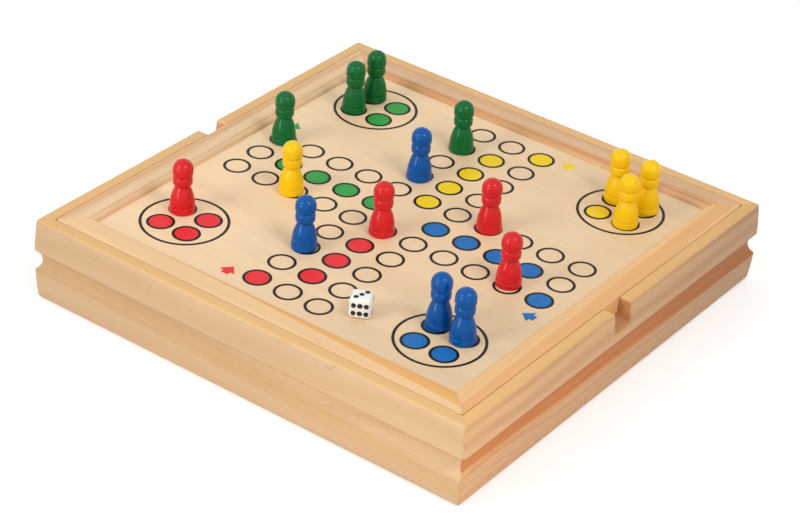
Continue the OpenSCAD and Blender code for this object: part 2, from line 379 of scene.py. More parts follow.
@dataclass(frozen=True)
class WoodFinish(Finish):
    """Clear-lacquered wood on one bar or panel.

    The grain runs along X or Y. pith is the middle of the growth rings, from the piece's middle, across
    and up, in metres. The heart is an orange band: it is centred heart_at from the middle of the piece
    along heart_way, across and up, and leans by heart_lean for each metre along the grain. The colour is
    painted darker by a set share for each metre along the grain: painted shade where the light falls off.
    Above a set height the top of a wall is painted yellower: a painted highlight where light catches it.
    """

    middle: Place
    crosswise: bool
    pith: Point
    pale: Colour
    late: Colour
    heart: Colour
    ring_spacing: float = 4.2 * MM
    ring_strength: float = 0.5
    fibre_strength: float = 0.22
    fleck_strength: float = 0.5
    heart_way: Point = (0.0, 1.0)
    heart_at: float = 0.0
    heart_half: float = 0.0
    heart_lean: float = 0.0
    heart_share: float = 0.8
    heart_edge: float = 1 * MM
    # painted shade: the colour darkens by this share for each metre along the grain, where the light falls
    # off across the box
    painted_light_falloff: float = 0.0
    # painted highlight: above this height the top of a wall is painted yellower, where light catches it
    painted_highlight_z: float | None = None
    painted_highlight_tone: Colour = srgb(228, 182, 114)
    painted_highlight_share: float = 0.65
    painted_highlight_below: float = 0.6 * MM
    painted_highlight_above: float = 0.4 * MM
    end_tone: Colour = srgb(250, 234, 218)
    grain_depth: float = 0.12 * MM
    specular: float = 0.35

    def build(self) -> bpy.types.Material:
        """Make the material.

        Returns:
            The finished material.
        """
        material, pad, shader, place = self.start()
        aligned = pad.add("ShaderNodeMapping", {
            "Vector": place,
            "Location": self.middle,
            "Rotation": (0.0, 0.0, FULL_TURN / 4 if self.crosswise else 0.0),
        }, vector_type="TEXTURE").outputs[0]
        figure = pad.add("ShaderNodeGroup", node_tree=WOOD_FIGURE.build(fill_wood_figure))
        pad.feed(figure, {
            "Along Grain": pad.vector("SUBTRACT", aligned, (0.0, *self.pith)).outputs[0],
            "Pale": self.pale,
            "Late": self.late,
            "Heart": self.heart,
            "Ring Spacing": self.ring_spacing,
            "Ring Strength": self.ring_strength,
            "Heart Share": self.heart_mask(pad, aligned),
            "Fibre Strength": self.fibre_strength,
            "Fleck Strength": self.fleck_strength,
        })
        tone = figure.outputs["Colour"]
        # painted shade: darker towards one end of the grain, where the light falls off
        if self.painted_light_falloff:
            along = pad.parts(aligned)[0]
            tone = pad.shaded(tone, pad.maths("SUBTRACT", 1.0, pad.times(along, self.painted_light_falloff)))
        # painted highlight along the top of a wall
        if self.painted_highlight_z:
            tone = pad.mix(self.painted_highlight_mask(pad, place), tone, self.painted_highlight_tone)
        pad.feed(shader, {
            "Base Color": pad.mix(self.end_mask(pad), tone, self.end_tone, "MULTIPLY"),
            "Roughness": figure.outputs["Roughness"],
            "Normal": pad.bump(figure.outputs["Height"], self.grain_depth, strength=0.6),
        })
        shader.inputs["Specular IOR Level"].default_value = self.specular
        return material

    def heart_mask(self, pad: NodePad, place: Socket) -> object:
        """Draw where the heartwood band lies.

        Args:
            pad: the material's nodes.
            place: coordinates with X along the grain, from the piece's middle.

        Returns:
            A share from 0 to heart_share, or a plain 0 where the piece has no heart.
        """
        if not self.heart_half:
            return 0.0
        height = pad.vector("DOT_PRODUCT", place, (self.heart_lean, *self.heart_way)).outputs["Value"]
        ragged = pad.swing(pad.streaks(place, along=9, across=90, detail=4.0), self.heart_edge * 3)
        off = pad.maths("ABSOLUTE", pad.plus(height, -self.heart_at, ragged))
        outside = pad.step(off, self.heart_half - self.heart_edge, self.heart_half + self.heart_edge)
        return pad.times(pad.maths("SUBTRACT", 1.0, outside), self.heart_share)

    def end_mask(self, pad: NodePad) -> Socket:
        """Find the end grain, on faces that lie square across the grain."""
        facing = pad.vector("DOT_PRODUCT", pad.add("ShaderNodeTexCoord").outputs["Normal"],
                            (0.0, 1.0, 0.0) if self.crosswise else (1.0, 0.0, 0.0)).outputs["Value"]
        return pad.step(pad.maths("ABSOLUTE", facing), low=0.76, high=0.92)

    def painted_highlight_mask(self, pad: NodePad, place: Socket) -> Socket:
        """Draw where the painted highlight lies along the top of a wall: a yellower band above its set
        height.
        """
        height = pad.parts(place)[2]
        return pad.step(height, self.painted_highlight_z - self.painted_highlight_below, self.painted_highlight_z + self.painted_highlight_above, self.painted_highlight_share)


@dataclass(frozen=True)
class InkFinish(Finish):
    """Screen-printed ink, slightly uneven, so that the wood's grain still shows through."""

    colour: Colour
    unevenness: float = 0.1
    worn_gain: float = 1.25
    worn_lift: float = 0.04
    roughness: float = 0.38
    grain_rough: float = 0.14
    grain_depth: float = 0.06 * MM
    specular: float = 0.2

    def build(self) -> bpy.types.Material:
        """Make the material.

        Returns:
            The finished material.
        """
        material, pad, shader, place = self.start()
        grain = pad.streaks(place, along=40, across=1400, detail=3.0, rough=0.6)
        cover = pad.streaks(place, along=260, across=260, detail=3.0)
        thin = pad.times(pad.plus(grain, cover), self.unevenness)
        worn = (*(min(1.0, part * self.worn_gain + self.worn_lift) for part in self.colour[:3]), 1.0)
        pad.feed(shader, {
            "Base Color": pad.mix(thin, self.colour, worn),
            "Roughness": pad.plus(self.roughness, pad.times(grain, self.grain_rough)),
            "Normal": pad.bump(grain, self.grain_depth, strength=0.5),
        })
        shader.inputs["Specular IOR Level"].default_value = self.specular
        return material


@dataclass(frozen=True)
class HandledFinish(Finish):
    """A coloured surface with the marks of hands, each lump_size metres large.

    Where it is rubbed its colour goes to dull times itself, by rub_share, and it gets rougher by rub_rough.
    """

    colour: Colour
    roughness: float
    lump_size: float
    dull: float
    rub_share: float
    rub_rough: float
    peel_depth: float = 0.03 * MM
    peel_strength: float = 0.3

    def marked(self) -> tuple[bpy.types.Material, NodePad, bpy.types.Node, Socket, Socket]:
        """Make the material as far as the marks go.

        Returns:
            The material, its nodes' pad, its shader, the Object coordinates and the peel's height.
        """
        material, pad, shader, place = self.start()
        marks = pad.add("ShaderNodeGroup", node_tree=HANDLING_MARKS.build(fill_handling_marks))
        pad.feed(marks, {"Place": place, "Lump Size": self.lump_size})
        rub = marks.outputs["Rub"]
        dulled = (*(part * self.dull for part in self.colour[:3]), 1.0)
        pad.feed(shader, {
            "Base Color": pad.mix(pad.times(rub, self.rub_share), self.colour, dulled),
            "Roughness": pad.plus(self.roughness, pad.times(rub, self.rub_rough)),
        })
        return material, pad, shader, place, marks.outputs["Orange Peel"]


@dataclass(frozen=True)
class LacquerFinish(HandledFinish):
    """Coloured gloss lacquer over turned wood, with faint tool lines under it."""

    roughness: float = 0.16
    lump_size: float = 6 * MM
    dull: float = 0.72
    rub_share: float = 0.15
    rub_rough: float = 0.12
    tool_line: float = 1.1 * MM
    specular: float = 0.22

    def build(self) -> bpy.types.Material:
        """Make the material.

        Returns:
            The finished material.
        """
        material, pad, shader, place, peel = self.marked()
        turned = pad.bands(pad.maths("DIVIDE", pad.parts(place)[2], self.tool_line), detail=1.0)
        height = pad.plus(pad.times(turned, 0.5), pad.times(peel, 0.5))
        pad.feed(shader, {"Normal": pad.bump(height, self.peel_depth, self.peel_strength)})
        shader.inputs["Specular IOR Level"].default_value = self.specular
        return material


@dataclass(frozen=True)
class MouldedFinish(HandledFinish):
    """Moulded plastic of a die, or the matt paint in its pips."""

    lump_size: float = 4 * MM
    dull: float = 0.93
    rub_share: float = 0.5
    rub_rough: float = 0.15

    def build(self) -> bpy.types.Material:
        """Make the material.

        Returns:
            The finished material.
        """
        material, pad, shader, _, peel = self.marked()
        pad.feed(shader, {"Normal": pad.bump(peel, self.peel_depth, self.peel_strength)})
        return material


def arc(middle: Point, radius: float, start: float, end: float, steps: int) -> list[Point]:
    """Points along a circle's arc, both ends included.

    Args:
        middle: the circle's middle.
        radius: its radius.
        start: angle of the first point, in degrees.
        end: angle of the last point, in degrees.
        steps: number of stretches between the points.

    Returns:
        The points.
    """
    angles = (math.radians(start + (end - start) * n / steps) for n in range(steps + 1))
    return [(middle[0] + radius * math.cos(a), middle[1] + radius * math.sin(a)) for a in angles]


def eased(corners: Sequence[tuple[float, float, float]], steps: int = 3) -> list[Point]:
    """Round the corners of a closed outline.

    Args:
        corners: each corner's two coordinates and its rounding, 0 for none.
        steps: stretches in each rounding.

    Returns:
        The points of the rounded outline.
    """
    points: list[Point] = []
    for index, (x, y, radius) in enumerate(corners):
        here = Vector((x, y))
        back = Vector(corners[index - 1][:2]) - here
        ahead = Vector(corners[(index + 1) % len(corners)][:2]) - here
        if not radius or not back.length or not ahead.length:
            points.append((x, y))
            continue
        half = back.angle(ahead) / 2
        reach = min(radius / math.tan(half), back.length * MOST_OF_EDGE, ahead.length * MOST_OF_EDGE)
        start, end = here + back.normalized() * reach, here + ahead.normalized() * reach
        for n in range(steps + 1):
            share = n / steps
            point = start * (1 - share) ** 2 + here * 2 * share * (1 - share) + end * share ** 2
            points.append((point.x, point.y))
    return points


def loop(made: bmesh.types.BMesh, places: Sequence[Vector]) -> list[bmesh.types.BMEdge]:
    """Draw a closed loop of edges through some places."""
    corners = [made.verts.new(place) for place in places]
    return [made.edges.new(pair) for pair in zip(corners, corners[1:] + corners[:1])]


def in_scene(name: str, data: bpy.types.ID) -> bpy.types.Object:
    """Put data in the scene as an object.

    Args:
        name: the object's name.
        data: its mesh, its lamp or its camera.

    Returns:
        The new object, at the origin.
    """
    item = bpy.data.objects.new(name, data)
    bpy.context.scene.collection.objects.link(item)
    return item


def mesh_of(name: str, made: bmesh.types.BMesh, material: bpy.types.Material) -> bpy.types.Mesh:
    """Turn a bmesh into a mesh with a finish.

    Args:
        name: the mesh's name.
        made: the bmesh, which is freed.
        material: the finish.

    Returns:
        The new mesh.
    """
    mesh = bpy.data.meshes.new(name)
    made.to_mesh(mesh)
    made.free()
    mesh.materials.append(material)
    return mesh


def new_piece(name: str, made: bmesh.types.BMesh, material: bpy.types.Material,
              smooth_angle: float = CRISP) -> bpy.types.Object:
    """Turn a finished bmesh into a shaded object at the origin.

    Args:
        name: the piece's name.
        made: its mesh, which is freed.
        material: its finish.
        smooth_angle: edges sharper than this many degrees stay crisp.

    Returns:
        The new object.
    """
    mesh = mesh_of(name, made, material)
    for polygon in mesh.polygons:
        polygon.use_smooth = True
    mesh.set_sharp_from_angle(angle=math.radians(smooth_angle))
    return in_scene(name, mesh)


def carve(piece: bpy.types.Object, cutter: bmesh.types.BMesh,
          cut_material: bpy.types.Material | None = None) -> None:
    """Cut a cutter's shape out of a piece's mesh and keep the result as its mesh.

    Args:
        piece: the piece to cut.
        cutter: the cutter's mesh, which is freed.
        cut_material: the finish of the cut faces, if it isn't the piece's own.
    """
    uncut = piece.data
    mesh = mesh_of("cutter", cutter, cut_material or uncut.materials[0])
    modifier = piece.modifiers.new("carve", "BOOLEAN")
    modifier.operation = "DIFFERENCE"
    modifier.object = in_scene("cutter", mesh)
    modifier.solver = "EXACT"
    modifier.material_mode = "TRANSFER"
    graph = bpy.context.evaluated_depsgraph_get()
    result = bpy.data.meshes.new_from_object(piece.evaluated_get(graph))
    result.name = uncut.name
    bpy.data.objects.remove(modifier.object)
    piece.modifiers.clear()
    piece.data = result
    for used in (uncut, mesh):
        bpy.data.meshes.remove(used)


def settle(piece: bpy.types.Object, body: str, slot: str, *nodes: str) -> None:
    """Let a piece ride on its body and stand for its CAD nodes.

    Args:
        piece: the piece.
        body: the body that it moves with.
        slot: not used.
        *nodes: the CAD nodes that it replaces.
    """
    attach(piece, body)
    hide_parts(*nodes)
    log.info("%s: %d faces, on %s", piece.name, len(piece.data.polygons), body)


# The share by which each wall's colour darkens for each metre along the grain is painted shade where the
# light falls off; a negative share paints light.
WALL_WOODS: dict[Side, dict[str, object]] = {
    # The right wall's heart band lies in its cove: partly orange heartwood, partly painted shade in the
    # groove.
    Side.RIGHT: dict(
        pith=(0.035, 0.06), pale=srgb(214, 166, 118), late=srgb(187, 134, 90), heart=srgb(190, 105, 40),
        heart_at=-2.2 * MM, heart_half=4.2 * MM, heart_lean=0.012, heart_share=0.75, painted_light_falloff=1.9,
        ring_spacing=4.6 * MM, ring_strength=0.7, fibre_strength=0.3, fleck_strength=0.25),
    Side.FRONT: dict(
        pith=(0.05, -0.05), pale=srgb(213, 176, 134), late=srgb(200, 158, 112), heart=srgb(204, 158, 102),
        heart_at=-7 * MM, heart_half=5 * MM, heart_lean=0.05, heart_share=0.4, painted_light_falloff=-0.7,
        ring_spacing=6 * MM, ring_strength=0.55, fibre_strength=0.2),
    Side.LEFT: dict(
        pith=(-0.04, 0.05), pale=srgb(226, 184, 140), late=srgb(206, 156, 108), heart=srgb(214, 146, 86),
        heart_at=14 * MM, heart_half=6 * MM, heart_lean=-0.03, heart_share=0.5, ring_spacing=5 * MM,
        ring_strength=0.6, fibre_strength=0.28),
    Side.BACK: dict(
        pith=(-0.06, -0.04), pale=srgb(226, 184, 141), late=srgb(208, 158, 110), heart=srgb(220, 160, 98),
        heart_at=-10 * MM, heart_half=4 * MM, heart_lean=0.02, heart_share=0.5, ring_spacing=5.5 * MM,
        ring_strength=0.6, fibre_strength=0.26),
}

RAIL_WOODS: dict[Side, dict[str, object]] = {
    Side.FRONT: dict(
        pith=(0.03, -0.05), pale=srgb(236, 197, 149), late=srgb(226, 179, 126), heart=srgb(228, 169, 94),
        heart_at=15.2 * MM, heart_half=12 * MM, heart_lean=0.045, heart_share=0.9, heart_edge=0.8 * MM,
        ring_spacing=5 * MM, ring_strength=0.4, fibre_strength=0.14, fleck_strength=0.2),
    Side.RIGHT: dict(
        pith=(-0.03, -0.04), pale=srgb(236, 192, 138), late=srgb(224, 168, 108), heart=srgb(222, 162, 98),
        heart_at=-4 * MM, heart_half=4.5 * MM, heart_lean=-0.02, heart_share=0.6, ring_spacing=5 * MM,
        ring_strength=0.55, fibre_strength=0.16, fleck_strength=0.3),
    Side.LEFT: dict(
        pith=(0.04, -0.04), pale=srgb(233, 199, 156), late=srgb(216, 172, 122), heart=srgb(210, 150, 92),
        heart_at=5 * MM, heart_half=2 * MM, heart_lean=0.01, heart_share=0.5, ring_spacing=4.5 * MM),
    Side.BACK: dict(
        pith=(-0.04, -0.05), pale=srgb(220, 180, 136), late=srgb(203, 154, 106), heart=srgb(206, 146, 90),
        heart_at=-5 * MM, heart_half=2.5 * MM, heart_lean=-0.015, heart_share=0.6, ring_spacing=5 * MM),
}


@dataclass
class MitredFrame:
    """Four bars of one moulding, mitred at the corners of a square and worked out as one ring.

    The outline has its first coordinate outwards from the middle of the square and its second upwards.
    """

    outline: list[Point]
    corner_round: float
    corner_steps: int = 8
    joint: float = 0.03 * MM

    def ring(self) -> bmesh.types.BMesh:
        """Sweep the outline round the square, with its outer upright corners rounded.

        Returns:
            The whole ring's mesh.
        """
        made = bmesh.new()
        pin = max(x for x, _ in self.outline) - self.corner_round
        sections = []
        for side in Side:
            for step in range(self.corner_steps + 1):
                turned = FULL_TURN / 4 * step / self.corner_steps
                way = Vector((math.cos(turned), math.sin(turned), 0.0))
                places = [Vector((min(x, pin), min(x, pin), z)) + max(0.0, x - pin) * way
                          for x, z in self.outline]
                sections.append(loop(made, [side.turn @ place for place in places]))
        for section, following in zip(sections, sections[1:] + sections[:1]):
            bmesh.ops.bridge_loops(made, edges=section + following)
        bmesh.ops.remove_doubles(made, verts=made.verts, dist=0.001 * MM)
        bmesh.ops.recalc_face_normals(made, faces=made.faces)
        return made

    def bar(self, side: Side) -> bmesh.types.BMesh:
        """Cut one bar out of the ring, leaving a hair's gap at its joints.

        Args:
            side: the side that the bar is on.

        Returns:
            The bar's mesh.
        """
        made = self.ring()
        for lean in (1, -1):
            normal = side.turn.to_3x3() @ Vector((-1, lean, 0)).normalized()
            bmesh.ops.bisect_plane(made, geom=made.verts[:] + made.edges[:] + made.faces[:],
                                   dist=0.0001 * MM, plane_co=normal * -self.joint, plane_no=normal,
                                   clear_outer=True)
            open_edges = [edge for edge in made.edges if edge.is_boundary]
            bmesh.ops.holes_fill(made, edges=open_edges, sides=0)
        bmesh.ops.recalc_face_normals(made, faces=made.faces)
        return made


@dataclass
class Walls:
    """The four moulded walls of the box, two of them with a finger notch."""

    half: float = 145 * MM
    height: float = 50 * MM
    inner_half: float = 131 * MM
    rim_half: float = 136.3 * MM
    ledge_z: float = 39.1 * MM
    bulge_radius: float = 180 * MM
    bulge_z: float = 27 * MM
    cove_radius: float = 7.8 * MM
    cove_depth: float = 4 * MM
    cove_z: float = 24.4 * MM
    cove_steps: int = 28
    steps_below: int = 5
    steps_above: int = 6
    foot_round: float = 3 * MM
    top_round: float = 1.8 * MM
    lip_ease: float = 1.8 * MM
    edge_ease: float = 0.5 * MM
    # how far below the top the painted highlight on a wall's top starts
    painted_highlight_drop: float = 0.6 * MM
    panel_rebate: float = 5 * MM
    panel_thickness: float = 4 * MM
    corner_round: float = 3 * MM
    notch_width: float = 15.5 * MM
    notch_z: float = 35.5 * MM
    notch_corner: float = 4 * MM
    notch_lip: float = 2 * MM
    notch_ease: float = 1 * MM
    past: float = 3 * MM

    def face_x(self, z: float) -> float:
        """How far out the bulging face is at height z."""
        middle = self.half - self.bulge_radius
        return middle + math.sqrt(self.bulge_radius ** 2 - (z - self.bulge_z) ** 2)

    def outline(self) -> list[Point]:
        """Cross-section of a wall, from the base round the outer face.

        Returns:
            The points of the outline.
        """
        middle = (self.half - self.cove_depth + self.cove_radius, self.cove_z)
        lip_angle = math.degrees(math.acos((middle[0] - self.half) / self.cove_radius))
        hollow = arc(middle, self.cove_radius, 180 + lip_angle, 180 - lip_angle, self.cove_steps)
        cove = [(x, z) for x, z in hollow if x < self.face_x(z)]
        rise_below, rise_above = cove[0][1] - self.foot_round, self.height - cove[-1][1]
        below = [self.foot_round + rise_below * n / self.steps_below for n in range(self.steps_below)]
        above = [cove[-1][1] + rise_above * n / self.steps_above for n in range(1, self.steps_above)]
        corners = [(self.inner_half + self.panel_rebate, 0.0, 0.0)]
        corners += [(self.face_x(0), 0.0, self.foot_round)]
        corners += [(self.face_x(z), z, 0.0) for z in below[1:]]
        corners += [(self.face_x(cove[0][1]), cove[0][1], self.lip_ease)]
        corners += [(x, z, 0.0) for x, z in cove[1:-1]]
        corners += [(self.face_x(cove[-1][1]), cove[-1][1], self.lip_ease)]
        corners += [(self.face_x(z), z, 0.0) for z in above]
        corners += [
            (self.face_x(self.height), self.height, self.top_round),
            (self.rim_half, self.height, self.edge_ease),
            (self.rim_half, self.ledge_z, 0.0),
            (self.inner_half, self.ledge_z, self.edge_ease),
            (self.inner_half, self.panel_thickness, 0.0),
            (self.inner_half + self.panel_rebate, self.panel_thickness, 0.0),
        ]
        return eased(corners, steps=4)

    def notch_outline(self, grown: float) -> list[Point]:
        """Outline of the finger notch, U-shaped and flared where it meets the wall's top.

        Args:
            grown: how far outside the plain notch the outline lies.

        Returns:
            The points, each a distance along the wall from its middle and a height.
        """
        half = self.notch_width / 2
        foot = (half - self.notch_corner, self.notch_z + self.notch_corner)
        lip = (half + self.notch_lip, self.height - self.notch_lip)
        right = arc(foot, self.notch_corner + grown, -90, 0, 10)
        right += arc(lip, self.notch_lip - grown, 180, 90, 6)
        right += [(lip[0], self.height + self.past)]
        return right + [(-x, z) for x, z in reversed(right)]

    def notch_cutter(self, side: Side) -> bmesh.types.BMesh:
        """Make the solid that cuts a finger notch, with a rounded edge where it leaves the outer face.

        Args:
            side: the wall that it cuts.

        Returns:
            The cutter's mesh.
        """
        stations = [(self.inner_half - self.half - self.past, 0.0)]
        stations += [(-self.notch_ease + x, self.notch_ease - grown)
                     for x, grown in reversed(arc((0.0, 0.0), self.notch_ease, 0, 90, 5))]
        stations += [(self.past, self.notch_ease)]
        made = bmesh.new()
        loops = [loop(made, [Vector((self.face_x(min(z, self.height)) + away, y, z))
                             for y, z in self.notch_outline(grown)])
                 for away, grown in stations]
        for near, far in zip(loops, loops[1:]):
            bmesh.ops.bridge_loops(made, edges=near + far)
        bmesh.ops.holes_fill(made, edges=loops[0] + loops[-1], sides=0)
        bmesh.ops.recalc_face_normals(made, faces=made.faces)
        bmesh.ops.transform(made, matrix=side.turn, verts=made.verts)
        return made

    def finish(self, side: Side) -> WoodFinish:
        """Choose the wood of one wall.

        Args:
            side: the wall.

        Returns:
            Its finish.
        """
        middle = side.turn @ Vector(((self.inner_half + self.half) / 2, 0, self.height / 2))
        # each wall's top gets a painted highlight, a yellower band
        return WoodFinish(f"pine_wall_{side.word}", tuple(middle), side.crosswise,
                          painted_highlight_z=self.height - self.painted_highlight_drop, **WALL_WOODS[side])

    def build(self) -> None:
        """Make the four walls."""
        moulding = MitredFrame(self.outline(), self.corner_round)
        for side in Side:
            material = self.finish(side).build()
            name = f"wall_{side.word}"
            piece = new_piece(f"moulded_{name}", moulding.bar(side), material)
            if side in (Side.LEFT, Side.RIGHT):
                carve(piece, self.notch_cutter(side))
                piece.data.set_sharp_from_angle(angle=math.radians(CRISP))
            settle(piece, "box", "wall_pine", name)


@dataclass
class LidRails:
    """The four rails of the lid's frame, with the rounded moulding along their inner edge."""

    half: float = 135.9 * MM
    width: float = 15.4 * MM
    bottom_z: float = 39.1 * MM
    top_z: float = 50 * MM
    board_z: float = 46.9 * MM
    board_thickness: float = 3 * MM
    groove_depth: float = 4.2 * MM
    moulding_radius: float = 2.7 * MM
    moulding_step: float = 0.6 * MM
    edge_ease: float = 0.5 * MM
    fine_ease: float = 0.15 * MM
    corner_round: float = 2 * MM

    def outline(self) -> list[Point]:
        """Cross-section of a rail, from its lower outer edge round the top.

        Returns:
            The points of the outline.
        """
        inner = self.half - self.width
        round_x = inner + self.moulding_radius
        step_x = round_x + self.moulding_step
        step_z = self.board_z + self.moulding_radius
        groove_x = inner + self.groove_depth
        groove_z = self.board_z - self.board_thickness
        corners = [
            (self.half, self.bottom_z, self.edge_ease),
            (self.half, self.top_z, self.edge_ease),
            (step_x, self.top_z, self.fine_ease),
            (step_x, step_z, 0.0),
        ]
        corners += [(x, z, 0.0) for x, z in arc((round_x, self.board_z), self.moulding_radius, 90, 180, 10)]
        corners += [
            (groove_x, self.board_z, 0.0),
            (groove_x, groove_z, 0.0),
            (inner, groove_z, 0.0),
            (inner, self.bottom_z, self.edge_ease),
        ]
        return eased(corners, steps=3)

    def finish(self, side: Side) -> WoodFinish:
        """Choose the wood of one rail.

        Args:
            side: the rail's side.

        Returns:
            Its finish.
        """
        middle = side.turn @ Vector((self.half - self.width / 2, 0, self.top_z))
        return WoodFinish(f"pine_rail_{side.word}", tuple(middle), side.crosswise, heart_way=(1.0, 0.0),
                          **RAIL_WOODS[side])

    def build(self) -> None:
        """Make the four rails."""
        moulding = MitredFrame(self.outline(), self.corner_round)
        for side in Side:
            name = f"lid_rail_{side.word}"
            piece = new_piece(f"moulded_{name}", moulding.bar(side), self.finish(side).build())
            settle(piece, "lid", "rail_pine", name)


@dataclass
class Panels:
    """The plywood board and the bottom panel, which keep their CAD solids."""

    def build(self) -> None:
        """Give both panels their finish."""
        board_low, board_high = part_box("game_board")
        # The board's colour is painted darker towards +X: painted shade where the light falls off across it.
        board = WoodFinish(
            name="plywood_board", middle=tuple((board_low + board_high) / 2), crosswise=False,
            pith=(0.02, 0.5), pale=srgb(239, 210, 171), late=srgb(224, 187, 141), heart=srgb(222, 190, 150),
            painted_light_falloff=0.7, ring_spacing=11 * MM, ring_strength=0.45, fibre_strength=0.15, fleck_strength=0.3)
        bottom = WoodFinish(
            name="plywood_bottom", middle=(0.0, 0.0, 0.0), crosswise=True, pith=(0.03, 0.4),
            pale=srgb(226, 200, 160), late=srgb(208, 172, 124), heart=srgb(210, 176, 132),
            ring_spacing=12 * MM, ring_strength=0.6, fibre_strength=0.2, fleck_strength=0.5)
        for node, finish in (("game_board", board), ("bottom_panel", bottom)):
            dress(node, finish.build())


def dress(node: str, material: bpy.types.Material) -> None:
    """Give a CAD node, which keeps its mesh, its finish.

    Args:
        node: the node's name.
        material: the finish.
    """
    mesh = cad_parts[node].data
    mesh.materials.clear()
    mesh.materials.append(material)
    log.info("%s: dressed with %s", node, material.name)


@dataclass
class Print:
    """The ink on the board, which keeps its CAD solids."""

    black: Colour = srgb(24, 14, 8)

    def build(self) -> None:
        """Give each colour of ink its finish."""
        dress("print_outlines", InkFinish("ink_black", self.black, unevenness=0.04).build())
        for colour in PieceColour:
            dress(f"print_{colour.value}", InkFinish(f"ink_{colour.value}", colour.ink).build())


@dataclass
class Pawn:
    """A turned pawn: foot, swelling skirt, collar and round head."""

    height: float = 32.1 * MM
    foot_radius: float = 7.2 * MM
    foot_height: float = 3.9 * MM
    foot_edge: float = 0.6 * MM
    skirt_radius: float = 7 * MM
    skirt_edge: float = 0.45 * MM
    skirt_swell: float = 25 * MM
    neck_z: float = 15.9 * MM
    neck_radius: float = 3.95 * MM
    collar_radius: float = 5.5 * MM
    collar_round: float = 2.6 * MM
    head_radius: float = 5.8 * MM
    jaw_round: float = 2.6 * MM
    jaw_drop: float = 4.6 * MM
    turns: int = 72

    def skirt(self) -> list[Point]:
        """Work out the swelling skirt.

        Returns:
            Points of the half outline, from the turned line up to the neck.
        """
        low = Vector((self.skirt_radius, self.foot_height))
        high = Vector((self.neck_radius, self.neck_z))
        chord = high - low
        away = math.sqrt(self.skirt_swell ** 2 - (chord.length / 2) ** 2)
        middle = (low + high) / 2 - away * Vector((chord.y, -chord.x)).normalized()
        start = math.degrees(math.atan2(low.y - middle.y, low.x - middle.x))
        end = math.degrees(math.atan2(high.y - middle.y, high.x - middle.x))
        return arc(tuple(middle), self.skirt_swell, start, end, 14)

    def outline(self) -> list[Point]:
        """Half outline of a pawn, from the middle of its foot to the top of its head.

        Returns:
            The points, each a distance from the axis and a height.
        """
        head_z = self.height - self.head_radius
        jaw_z = head_z - self.jaw_drop + self.jaw_round
        collar_low = self.neck_z + self.collar_round
        collar_high = head_z - self.jaw_drop - self.collar_round / 2
        foot = self.foot_radius - self.foot_edge
        skirt = self.skirt_radius - self.skirt_edge
        collar = self.collar_radius - self.collar_round
        jaw = self.head_radius - self.jaw_round
        points = [(0.0, 0.0)]
        points += arc((foot, self.foot_edge), self.foot_edge, -90, 0, 4)
        points += arc((foot, self.foot_height - self.foot_edge), self.foot_edge, 0, 75, 4)
        points += arc((skirt, self.foot_height + self.skirt_edge), self.skirt_edge, -75, -5, 4)
        points += self.skirt()[1:-1]
        points += arc((collar, collar_low), self.collar_round, -66, 0, 8)
        points += arc((collar, collar_high), self.collar_round, 0, 44, 6)
        points += arc((jaw, jaw_z), self.jaw_round, -50, 0, 6)
        points += arc((0.0, head_z), self.head_radius, 0, 90, 14)
        return points

    def build(self, colour: PieceColour, number: int, material: bpy.types.Material) -> None:
        """Turn one pawn and stand it where its CAD solid stands.

        Args:
            colour: the player's colour.
            number: which of the player's four pawns it is.
            material: its lacquer.
        """
        node = f"pawn_{colour.value}_{number}"
        low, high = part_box(node)
        made = bmesh.new()
        points = [made.verts.new((radius, 0.0, z)) for radius, z in self.outline()]
        edges = [made.edges.new(pair) for pair in zip(points, points[1:])]
        bmesh.ops.spin(made, geom=points + edges, cent=(0, 0, 0), axis=(0, 0, 1), dvec=(0, 0, 0),
                       angle=FULL_TURN, steps=self.turns, use_merge=True, use_duplicate=False)
        bmesh.ops.remove_doubles(made, verts=made.verts, dist=0.01 * MM)
        bmesh.ops.recalc_face_normals(made, faces=made.faces)
        bmesh.ops.translate(made, verts=made.verts,
                            vec=((low.x + high.x) / 2, (low.y + high.y) / 2, low.z))
        piece = new_piece(f"turned_{node}", made, material, smooth_angle=32)
        settle(piece, node, f"lacquer_{colour.value}", node)


